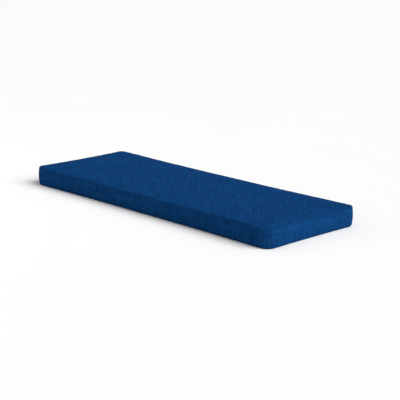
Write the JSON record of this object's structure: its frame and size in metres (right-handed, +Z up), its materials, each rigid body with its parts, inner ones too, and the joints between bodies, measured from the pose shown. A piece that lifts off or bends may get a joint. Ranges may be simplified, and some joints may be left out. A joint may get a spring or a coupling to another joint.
{
  "type": "bench cushion",
  "caption": "Long box-edge bench seat cushion: one filled solid with a low crown, rolled edges, sewn seams and drawn-in sides, flat underneath.",
  "frame": {"origin": "centre of the footprint, on the surface that the cushion rests on", "axes": "+X along the length, +Z up through the crown; the long front side faces -Y"},
  "size_m": [1.2698, 0.4568, 0.0801],
  "materials": {
    "cover": "matt woven outdoor cloth, royal blue, linen look"
  },
  "bodies": {
    "root": {"cushion": "cover"}
  },
  "joints": []
}
